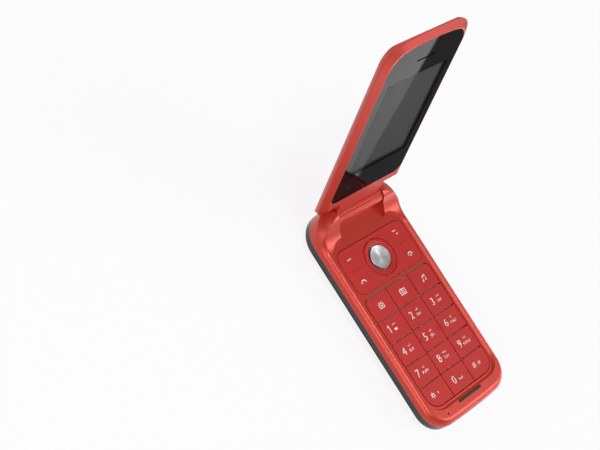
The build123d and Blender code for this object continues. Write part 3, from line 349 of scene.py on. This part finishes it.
for step in (-0.45, 0.45):
    prints["hash"].line([(-2.85 + step, -1.0), (-2.55 + step, 1.4)], 0.34)
    prints["hash"].line([(-3.7, 0.2 + step), (-1.7, 0.2 + step)], 0.34)
prints["hash"].line([(-0.15, -0.7), (0.3, 0.7)], 0.36)
prints["hash"].line([(0.75, -0.7), (1.2, 0.7)], 0.36)

# The first row has a radio with two aerials, a camera and a pair of notes.
radio = prints["tool"]
radio.line([(-1.3, -1.2), (1.3, -1.2), (1.3, 0.7), (-1.3, 0.7)], 0.34, closed=True)
radio.patch(0, -0.25, 1.2, 0.7)
radio.line([(-0.9, 1.6), (0, 0.8), (0.9, 1.6)], 0.26)
camera = prints["camera"]
camera.line([(-1.6, -1.2), (1.6, -1.2), (1.6, 1.1), (-1.6, 1.1)], 0.42, closed=True)
camera.curve(0, -0.05, 0.62, 0.62, 0, 360, 0.34, steps=16)
camera.patch(-0.6, 1.45, 0.9, 0.3)
notes = prints["music"]
notes.line([(-0.62, -1.0), (-0.62, 1.1), (1.18, 1.4), (1.18, -0.7)], 0.24)
notes.line([(-0.62, 0.75), (1.18, 1.05)], 0.4)
notes.dot(-0.98, -1.05, 0.45, 0.36)
notes.dot(0.82, -0.75, 0.45, 0.36)
for name, made in prints.items():
    made.press("legend_" + name, "key_" + name)

# The plate has a handset at either end, to take and to end a call, and a bar
# above each for the soft keys.
CALL_X = 15.5
plate_low, plate_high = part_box("function_plate")
signs = Print(0, (plate_low.y + plate_high.y) / 2, key_top)
for side in (-1, 1):
    signs.curve(CALL_X * side, -6.0, 1.35, 1.15, 15, 165, 0.5)
    signs.line([(CALL_X * side - 1.4, -5.5), (CALL_X * side - 1.0, -6.0)], 0.75)
    signs.line([(CALL_X * side + 1.4, -5.5), (CALL_X * side + 1.0, -6.0)], 0.75)
signs.curve(CALL_X, -6.2, 0.5, 0.5, 110, 430, 0.24)
signs.line([(-17.1, 5.65), (-14.7, 5.65)], 0.4)
signs.line([(13.3, 6.6), (15.5, 6.6)], 0.4)
signs.dot(15.4, 4.9, 0.42, 0.42)
signs.press("plate_signs", "function_plate")


# ------------------------------------------------------------------ waist band
# The band round the waist is moulded plastic with a gunmetal finish. Fine ribs
# run across its straight sides, and its corners are smooth.
def gunmetal():
    f = Finish("gunmetal")
    flake = f.grain(0.2 * mm, detail=1.0)
    tone = f.blend(flake, (0.040, 0.042, 0.045, 1), (0.080, 0.083, 0.087, 1))
    return f.finish(f.shade(
        Base_Color=tone,
        Metallic=0.85,
        Roughness=0.22 + 0.06 * flake,
    ))


dress(gunmetal(), "side_band")


# ------------------------------------------------------------------ display lens
# One pane of clear acrylic, printed black from behind all round the window, so
# that the display shows through it and everything else stays dark.
HINGE = Vector((0, 47.6 * mm, 14.2 * mm))
LID_UP = Vector((0, 0.34202, 0.93969))
LID_OUT = Vector((0, -0.93969, 0.34202))
WINDOW_HALF_X = 18.55 * mm
WINDOW_HALF_UP = 25.4 * mm
WINDOW_UP = 53.2 * mm  # from the hinge to the middle of the window
LENS_BACK_OUT = 0.55 * mm  # the back face lies nearer the lid than this, and stays clear
LENS_IOR = 1.07
LENS_GLOSS = 0.55  # share of the glass's own reflection that its coating leaves


def lid_places(f):
    """Places on the lid: across it, up from the hinge, and out of its face."""
    point = f.place()
    along = f.node("ShaderNodeVectorMath", {"operation": "DOT_PRODUCT"}, {0: point, 1: LID_UP}, out="Value")
    out = f.node("ShaderNodeVectorMath", {"operation": "DOT_PRODUCT"}, {0: point, 1: LID_OUT}, out="Value")
    return f.axis("X"), along - HINGE.dot(LID_UP), out - HINGE.dot(LID_OUT)


def pane():
    f = Finish("lens_pane")
    across, up, out = lid_places(f)
    window = (abs(across) < WINDOW_HALF_X) * (abs(up - WINDOW_UP) < WINDOW_HALF_UP)
    behind = out < LENS_BACK_OUT
    see = (window + behind) > 0.5
    dust = f.grain(0.5 * mm, detail=2.0)
    tone = f.blend(dust, (0.0045, 0.0050, 0.0050, 1), (0.0062, 0.0066, 0.0066, 1))
    printed = f.shade(Base_Color=tone, Roughness=0.01, Specular_IOR_Level=0.03)
    share = f.node("ShaderNodeFresnel", sockets={"IOR": LENS_IOR}) * LENS_GLOSS * (1 - behind)
    clear = f.node("ShaderNodeBsdfTransparent", sockets={"Color": (0.90, 0.90, 0.90, 1)})
    gloss = f.node("ShaderNodeBsdfGlossy", sockets={"Color": (1, 1, 1, 1), "Roughness": 0.01})
    glass = f.node("ShaderNodeMixShader", sockets={0: share, 1: clear, 2: gloss})
    return f.finish(f.node("ShaderNodeMixShader", sockets={0: see, 1: printed, 2: glass}))


dress(pane(), "display_lens")


# ------------------------------------------------------------------ display
# A glass slab with the polariser on it fills the opening up to the lens, so the
# picture lies close behind the lens. The display is off: dark grey, black border.
def stood_on_lid(b, up, out):
    """Turns a flat shape from the ground up to the lid, at a place on it."""
    face = Matrix((
        (1, 0, 0),
        (0, LID_UP.y, LID_OUT.y),
        (0, LID_UP.z, LID_OUT.z),
    ))
    place = HINGE + up * LID_UP + out * LID_OUT
    bmesh.ops.transform(b, verts=b.verts[:], matrix=Matrix.Translation(place) @ face.to_4x4())


LIT_HALF_X = 16.9 * mm
LIT_HALF_UP = 23.6 * mm
LIT_UP = 53.0 * mm


def polariser():
    f = Finish("polariser")
    across, up, _ = lid_places(f)
    lit = (abs(across) < LIT_HALF_X) * (abs(up - LIT_UP) < LIT_HALF_UP)
    cells = f.grain(0.16 * mm, detail=1.0)
    tone = f.blend(lit, (0.016, 0.016, 0.016, 1), (0.052, 0.052, 0.052, 1))
    tone = f.blend(cells * 0.12, tone, (0.035, 0.035, 0.035, 1))
    return f.finish(f.shade(Base_Color=tone, Roughness=0.5, Specular_IOR_Level=0.1))


DISPLAY_SIZE = (40.6 * mm, 57.8 * mm, 0.98 * mm)
DISPLAY_UP = 51.5 * mm
DISPLAY_OUT = -0.44 * mm
DISPLAY_EDGE = 0.12 * mm
b = bmesh.new()
bmesh.ops.create_cube(b, size=1)
bmesh.ops.scale(b, verts=b.verts[:], vec=DISPLAY_SIZE)
bmesh.ops.bevel(b, geom=b.edges[:], offset=DISPLAY_EDGE, segments=2, profile=0.5, material=-1, affect="EDGES")
bmesh.ops.recalc_face_normals(b, faces=b.faces[:])
stood_on_lid(b, DISPLAY_UP, DISPLAY_OUT)
display_look = polariser()
keep(as_mesh(b, "display_glass"), "display_glass", "lid", display_look)
dress(display_look, "lcd_panel")


# ------------------------------------------------------------------ select button
# A cap of bright aluminium turned on a lathe: its dished face keeps the fine
# rings of the tool, which spread the light into bright and dark fans.
def turned_metal():
    f = Finish("turned_metal")
    scratch = f.grain(0.08 * mm, detail=2.0)
    tone = f.blend(scratch, (0.50, 0.50, 0.50, 1), (0.64, 0.64, 0.64, 1))
    return f.finish(f.shade(Base_Color=tone, Metallic=1.0, Roughness=0.36 + 0.06 * scratch))


def turned(profile, middle, name, steps):
    """A closed body turned round an upright axis through a place."""
    b = bmesh.new()
    corners = [b.verts.new((reach, 0, z)) for reach, z in profile]
    edges = [b.edges.new(pair) for pair in zip(corners, corners[1:])]
    bmesh.ops.spin(b, geom=edges, cent=(0, 0, 0), axis=(0, 0, 1), angle=tau, steps=steps, use_merge=True)
    bmesh.ops.remove_doubles(b, verts=b.verts[:], dist=1e-6)
    bmesh.ops.recalc_face_normals(b, faces=b.faces[:])
    bmesh.ops.translate(b, verts=b.verts[:], vec=(middle.x, middle.y, 0))
    return as_mesh(b, name)


cap_low, cap_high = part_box("select_button")
cap_middle = (cap_low + cap_high) / 2
cap_r = (cap_high.x - cap_low.x) / 2
CAP_EDGE = 0.2 * mm
CAP_DISH = 0.45 * mm
TOOL_STEP = 0.08 * mm
TOOL_DEPTH = 0.011 * mm
TOOL_TURN = 2.4  # radians from one mark to the next
TOOL_FADE = 3  # marks that fade out at the edge of the dish
dish_r = cap_r - CAP_EDGE
rings = int(dish_r / TOOL_STEP)
profile = []
for i in range(rings + 1):
    reach = dish_r * i / rings
    sag = CAP_DISH * (1 - (reach / dish_r) ** 2)
    tool_mark = TOOL_DEPTH * sin(TOOL_TURN * i) * min(1, (rings - i) / TOOL_FADE)
    profile.append((reach, cap_high.z - sag + tool_mark))
profile += [(cap_r, cap_high.z - CAP_EDGE), (cap_r, cap_low.z), (0, cap_low.z)]
cap_mesh = turned(profile, cap_middle, "select_cap", steps=128)
cap = keep(cap_mesh, "select_cap", "select_button", turned_metal())
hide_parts("select_button")


# ------------------------------------------------------------------ bumper
# A strip of soft dark rubber, pressed into a slot in the toe of the front case,
# which the lid closes on.
def dark_rubber():
    f = Finish("dark_rubber")
    skin = f.grain(0.1 * mm, detail=2.0)
    tone = f.blend(skin, (0.016, 0.009, 0.008, 1), (0.032, 0.018, 0.016, 1))
    return f.finish(f.shade(Base_Color=tone, Roughness=0.65, Normal=f.bump(skin, 0.004 * mm)))


dress(dark_rubber(), "bumper")


# ------------------------------------------------------------------ black mouldings
# Camera bezel and body, jack body, hinge bush, speakers and aerial carrier are
# moulded in black with a fine matt grain.
def black_moulding():
    f = Finish("black_moulding")
    skin = f.grain(0.15 * mm, detail=2.0)
    tone = f.blend(skin, (0.010, 0.010, 0.011, 1), (0.022, 0.022, 0.023, 1))
    return f.finish(f.shade(Base_Color=tone, Roughness=0.4 + 0.15 * skin, Normal=f.bump(skin, 0.004 * mm)))


dress(black_moulding(), "audio_jack", "camera_module", "camera_bezel", "loudspeaker", "antenna",
      "hinge_bush", "earpiece")


# ------------------------------------------------------------------ camera window
# A small pane of glass with a violet coating, glued into the bezel and printed
# black from behind round its clear middle.
CLEAR_R = 2.2 * mm
glass_low, glass_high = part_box("camera_window")
glass_middle = (glass_low + glass_high) / 2


def coated_glass():
    f = Finish("coated_glass")
    east, north = f.axis("X") - glass_middle.x, f.axis("Y") - glass_middle.y
    open_part = (east * east + north * north) < CLEAR_R ** 2
    cloud = f.grain(4 * mm)
    tone = f.blend(cloud, (0.006, 0.006, 0.010, 1), (0.010, 0.008, 0.016, 1))
    printed = f.shade(Base_Color=tone, Roughness=0.05)
    clear = f.node("ShaderNodeBsdfTransparent", sockets={"Color": (0.85, 0.85, 0.9, 1)})
    gloss = f.node("ShaderNodeBsdfGlossy", sockets={"Color": (0.8, 0.8, 1, 1), "Roughness": 0.02})
    coated = f.node("ShaderNodeMixShader", sockets={0: 0.05, 1: clear, 2: gloss})
    return f.finish(f.node("ShaderNodeMixShader", sockets={0: open_part, 1: printed, 2: coated}))


dress(coated_glass(), "camera_window")


# ------------------------------------------------------------------ camera iris
# Behind the coated glass sits the lens barrel: stepped black rings that close in
# on a small front element with a violet coating.
ELEMENT_R = 1.05 * mm
iris_back = glass_high.z + 0.45 * mm
iris_profile = [
    (0, glass_high.z + 0.12 * mm),
    (0.6 * mm, glass_high.z + 0.16 * mm),
    (1.1 * mm, glass_high.z + 0.32 * mm),
    (1.1 * mm, glass_high.z + 0.12 * mm),
    (1.5 * mm, glass_high.z + 0.12 * mm),
    (1.5 * mm, glass_high.z + 0.22 * mm),
    (2.1 * mm, glass_high.z + 0.06 * mm),
    (3.0 * mm, glass_high.z + 0.06 * mm),
    (3.0 * mm, iris_back),
    (0, iris_back),
]


def iris_paint():
    f = Finish("camera_iris")
    reach = f.node("ShaderNodeVectorMath", {"operation": "DISTANCE"}, {
        0: f.place(), 1: (glass_middle.x, glass_middle.y, iris_back)}, out="Value")
    skin = f.grain(0.1 * mm)
    black = f.blend(skin, (0.004, 0.004, 0.004, 1), (0.010, 0.010, 0.010, 1))
    element = reach < ELEMENT_R
    tone = f.blend(element, black, (0.020, 0.010, 0.045, 1))
    return f.finish(f.shade(Base_Color=tone, Roughness=0.5 - 0.45 * element))


iris = turned(iris_profile, glass_middle, "camera_iris", steps=48)
keep(iris, "camera_iris", "base", iris_paint())


# ------------------------------------------------------------------ light window
# A clear grey light pipe on the back of the lid, frosted so that the lamp
# behind it spreads along the slot.
def light_pipe():
    f = Finish("light_pipe")
    frost = f.grain(0.3 * mm, detail=2.0)
    tone = f.blend(frost, (0.50, 0.50, 0.52, 1), (0.70, 0.70, 0.72, 1))
    return f.finish(f.shade(Base_Color=tone, Roughness=0.3 + 0.1 * frost))


dress(light_pipe(), "led_window")


# ------------------------------------------------------------------ metal parts inside
# Card holders, port shell, motor, shaft, hinge unit and screws are stamped or
# turned steel; the microphone can and the magnet are plated.
def stamped_steel():
    f = Finish("stamped_steel")
    rolled = f.grain(0.3 * mm, detail=3.0, stretch=(1, 12, 12))
    tone = f.blend(rolled, (0.42, 0.42, 0.41, 1), (0.60, 0.60, 0.59, 1))
    return f.finish(f.shade(Base_Color=tone, Metallic=1.0, Roughness=0.28 + 0.14 * rolled))


dress(stamped_steel(), "usb_socket", "vibration_motor", "sim_holder_1", "sim_holder_2", "memory_card_slot",
      "chassis_screws", "hinge_shaft", "hinge_cam_unit")


def plated():
    f = Finish("plated")
    cloud = f.grain(1.5 * mm)
    return f.finish(f.shade(Base_Color=(0.70, 0.70, 0.69, 1), Metallic=1.0, Roughness=0.12 + 0.1 * cloud))


dress(plated(), "microphone", "lid_magnet")


# ------------------------------------------------------------------ contacts and flexible circuit
# Battery contacts are gold-plated springs; the circuit that runs through the
# hinge is copper between two amber films.
def amber_film():
    f = Finish("amber_film")
    tracks = f.node("ShaderNodeTexWave", {"bands_direction": "X"}, {"Vector": f.place(), "Scale": 300.0})
    tone = f.blend(tracks, (0.46, 0.20, 0.05, 1), (0.62, 0.34, 0.12, 1))
    return f.finish(f.shade(Base_Color=tone, Metallic=0.6, Roughness=0.3))


dress(amber_film(), "battery_contacts", "hinge_flex")


# ------------------------------------------------------------------ chassis
# A grey frame moulded in glass-filled plastic, screwed to the front case. It
# holds the board, the card holders and the battery.
def grey_moulding():
    f = Finish("grey_moulding")
    skin = f.grain(0.2 * mm, detail=2.0)
    tone = f.blend(skin, (0.085, 0.090, 0.095, 1), (0.12, 0.125, 0.13, 1))
    return f.finish(f.shade(Base_Color=tone, Roughness=0.5, Normal=f.bump(skin, 0.004 * mm)))


dress(grey_moulding(), "chassis")


# ------------------------------------------------------------------ boards
# Boards of glass fibre and resin, etched in copper and coated with green solder
# resist. One is screwed down in the base, the other glued into the lid.
def solder_resist():
    f = Finish("solder_resist")
    wants = {"Vector": f.place(), "Scale": 900.0}
    weave = f.node("ShaderNodeTexWave", {"bands_direction": "DIAGONAL"}, wants)
    tone = f.blend(weave, (0.010, 0.085, 0.035, 1), (0.014, 0.11, 0.045, 1))
    return f.finish(f.shade(Base_Color=tone, Roughness=0.3))


dress(solder_resist(), "main_board", "lid_board")


# ------------------------------------------------------------------ key mat and soft rings
# A mat of milky silicone carries the plungers; the soft rings under plate and
# ring are cut from the same sheet. The film below holds the steel domes.
def silicone():
    f = Finish("silicone")
    cloud = f.grain(3 * mm)
    tone = f.blend(cloud, (0.52, 0.50, 0.47, 1), (0.60, 0.58, 0.55, 1))
    return f.finish(f.shade(Base_Color=tone, Roughness=0.5 + 0.1 * cloud))


dress(silicone(), "key_mat", "function_plate_pad", "nav_ring_pad")


def dome_film():
    f = Finish("dome_film")
    cloud = f.grain(2 * mm)
    tone = f.blend(cloud, (0.58, 0.56, 0.48, 1), (0.66, 0.64, 0.56, 1))
    return f.finish(f.shade(Base_Color=tone, Roughness=0.35))


dress(dome_film(), "dome_sheet")


# ------------------------------------------------------------------ battery
# A flat lithium pack in a plain dark wrap, which drops into the well of the
# chassis and is held there by the rear cover.
def battery_wrap():
    f = Finish("battery_wrap")
    skin = f.grain(0.5 * mm, detail=2.0)
    tone = f.blend(skin, (0.014, 0.015, 0.018, 1), (0.022, 0.023, 0.027, 1))
    return f.finish(f.shade(Base_Color=tone, Roughness=0.35 + 0.1 * skin))


dress(battery_wrap(), "battery")


# Three gold pads in the end of the pack meet the spring contacts, with the signs
# of the poles printed above the outer two.
def gold():
    f = Finish("gold")
    cloud = f.grain(0.6 * mm)
    tone = f.blend(cloud, (0.72, 0.46, 0.15, 1), (0.82, 0.56, 0.22, 1))
    return f.finish(f.shade(Base_Color=tone, Metallic=1.0, Roughness=0.22 + 0.1 * cloud))


pack_low, pack_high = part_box("battery")
pad_z = (pack_low.z + pack_high.z) / 2
POLE_PITCH = 3 * mm
GOLD_THICK = 0.03 * mm
b = bmesh.new()
for x in (-POLE_PITCH, 0, POLE_PITCH):
    pad = bmesh.ops.create_grid(b, x_segments=1, y_segments=1, size=0.5)["verts"]
    bmesh.ops.scale(b, verts=pad, vec=(1.8 * mm, 1.3 * mm, 1))
    bmesh.ops.rotate(b, verts=pad, cent=(0, 0, 0), matrix=Matrix.Rotation(radians(-90), 3, "X"))
    bmesh.ops.translate(b, verts=pad, vec=(x, pack_high.y, pad_z))
bmesh.ops.solidify(b, geom=b.faces[:], thickness=-GOLD_THICK)
bmesh.ops.recalc_face_normals(b, faces=b.faces[:])
keep(as_mesh(b, "battery_pads"), "battery_pads", "battery", gold())

poles = Print(0, pack_high.y - 2.0 * mm, pack_high.z)
poles.line([(-3.6, 0), (-2.4, 0)], 0.25)
poles.line([(-3.0, -0.6), (-3.0, 0.6)], 0.25)
poles.line([(2.4, 0), (3.6, 0)], 0.25)
poles.press("battery_poles", "battery")


# ------------------------------------------------------------------ studio
# A pale floor under the phone, a pale surround, and four large soft lamps. Two
# cards, one bright and one dark, are met by reflections alone.
def stage_plane(name, reach, z, material):
    b = bmesh.new()
    bmesh.ops.create_grid(b, x_segments=1, y_segments=1, size=reach)
    bmesh.ops.translate(b, verts=b.verts[:], vec=(0, 0, z))
    piece = bpy.data.objects.new(name, as_mesh(b, name))
    bpy.context.scene.collection.objects.link(piece)
    piece.data.materials.append(material)
    return piece


WHITE_FROM = 0.15  # metres from the phone at which the floor starts to fade to white
WHITE_AT = 0.6


def floor_paint():
    f = Finish("floor_paint")
    seen = f.node("ShaderNodeLightPath", out="Is Camera Ray")
    mirrored = f.node("ShaderNodeLightPath", out="Is Glossy Ray")
    through = f.node("ShaderNodeLightPath", out="Is Transmission Ray")
    lit = f.shade(Base_Color=(0.86, 0.86, 0.86, 1), Roughness=0.9, Specular_IOR_Level=0.0)
    glow = f.node("ShaderNodeEmission", sockets={"Color": (1, 1, 1, 1), "Strength": 1.0})
    reach = f.node("ShaderNodeVectorMath", {"operation": "LENGTH"}, {0: f.place()}, out="Value")
    far = f.node("ShaderNodeMapRange", {"interpolation_type": "SMOOTHSTEP"}, {
        "Value": reach, "From Min": WHITE_FROM, "From Max": WHITE_AT, "To Min": 0.86, "To Max": 1.0})
    share = (seen + mirrored + through) * far
    return f.finish(f.node("ShaderNodeMixShader", sockets={0: share, 1: lit, 2: glow}))


stage_plane("floor", 3.0, -0.5 * mm, floor_paint())


CARD_SLOPE = 0.47  # the edge between the cards runs at this slope
CARD_EDGE = Vector((59.4 * mm, 5.1 * mm))  # and through this place on the floor
CARD_DARK = 0.34


def card_paint():
    """A bright card beside a dark one; the bright one is dimmer near the phone, a painted shadow of the phone
    on the floor as the lens reflects it.
    """
    f = Finish("card_paint")
    x, y = f.axis("X"), f.axis("Y")
    edge = CARD_EDGE.y - CARD_SLOPE * (x - CARD_EDGE.x) - y
    bright = f.node("ShaderNodeMapRange", {"interpolation_type": "SMOOTHSTEP"}, {
        "Value": edge, "From Min": -1 * mm, "From Max": 1 * mm, "To Min": 0.0, "To Max": 1.0})
    # Painted shadow: the bright card glows less near the phone, standing in for the phone's shadow on the
    # floor seen in reflections.
    painted_shadow_dimming = f.node("ShaderNodeMapRange", {}, {
        "Value": x, "From Min": 20 * mm, "From Max": 120 * mm, "To Min": 2.0, "To Max": 3.6})
    strength = CARD_DARK + bright * painted_shadow_dimming
    glow = f.node("ShaderNodeEmission", sockets={"Color": (1, 1, 1, 1), "Strength": strength})
    return f.finish(glow)


CARDS_REACH = 0.45
CARDS_X = 0.48
cards = stage_plane("cards", CARDS_REACH, -0.2 * mm, card_paint())
cards.visible_camera = False
cards.visible_diffuse = False
cards.visible_shadow = False
cards.visible_transmission = False
cards.data.transform(Matrix.Translation((CARDS_X, 0.0, 0.0)))


class Surround(Finish):
    """The world, put together as a finish is."""

    def __init__(self, name):
        world = bpy.data.worlds.new(name)
        bpy.context.scene.world = world
        world.use_nodes = True
        self.tree = world.node_tree
        self.tree.nodes.clear()


f = Surround("surround")
camera_ray = f.node("ShaderNodeLightPath", out="Is Camera Ray")
glossy_ray = f.node("ShaderNodeLightPath", out="Is Glossy Ray")
clear_ray = f.node("ShaderNodeLightPath", out="Is Transmission Ray")
rise = f.node("ShaderNodeSeparateXYZ", sockets={0: f.node("ShaderNodeTexCoord", out="Generated")}, out="Z")
wall = f.node("ShaderNodeMapRange", {"interpolation_type": "SMOOTHSTEP"}, {
    "Value": rise, "From Min": 0.2, "From Max": 0.6, "To Min": 1.0, "To Max": 0.0})
FILL = 0.22  # strength of the surround as a lamp, of the 1.0 that is seen
strength = FILL + (1 - FILL) * wall * (camera_ray + glossy_ray + clear_ray)
light = f.node("ShaderNodeBackground", sockets={"Color": (1, 1, 1, 1), "Strength": strength})
f.node("ShaderNodeOutputWorld", sockets={"Surface": light})


AIM = Vector((0, 0, 40 * mm))


def lamp(name, at, size, power):
    light = bpy.data.lights.new(name, "AREA")
    light.shape = "RECTANGLE"
    light.size, light.size_y = size
    light.energy = power
    holder = bpy.data.objects.new(name, light)
    bpy.context.scene.collection.objects.link(holder)
    holder.location = at
    holder.rotation_euler = (AIM - Vector(at)).to_track_quat("-Z", "Y").to_euler()


lamp("lamp_left", (-0.9, -0.1, 0.55), (0.4, 0.4), 2.6)
lamp("lamp_right", (0.7, -0.5, 0.8), (0.5, 0.5), 5.0)
lamp("lamp_above", (-0.3, -0.1, 1.2), (0.4, 0.4), 4.8)
lamp("lamp_back", (-0.2, 0.9, 0.8), (0.5, 0.3), 2.0)

bpy.context.scene.view_settings.view_transform = "Standard"
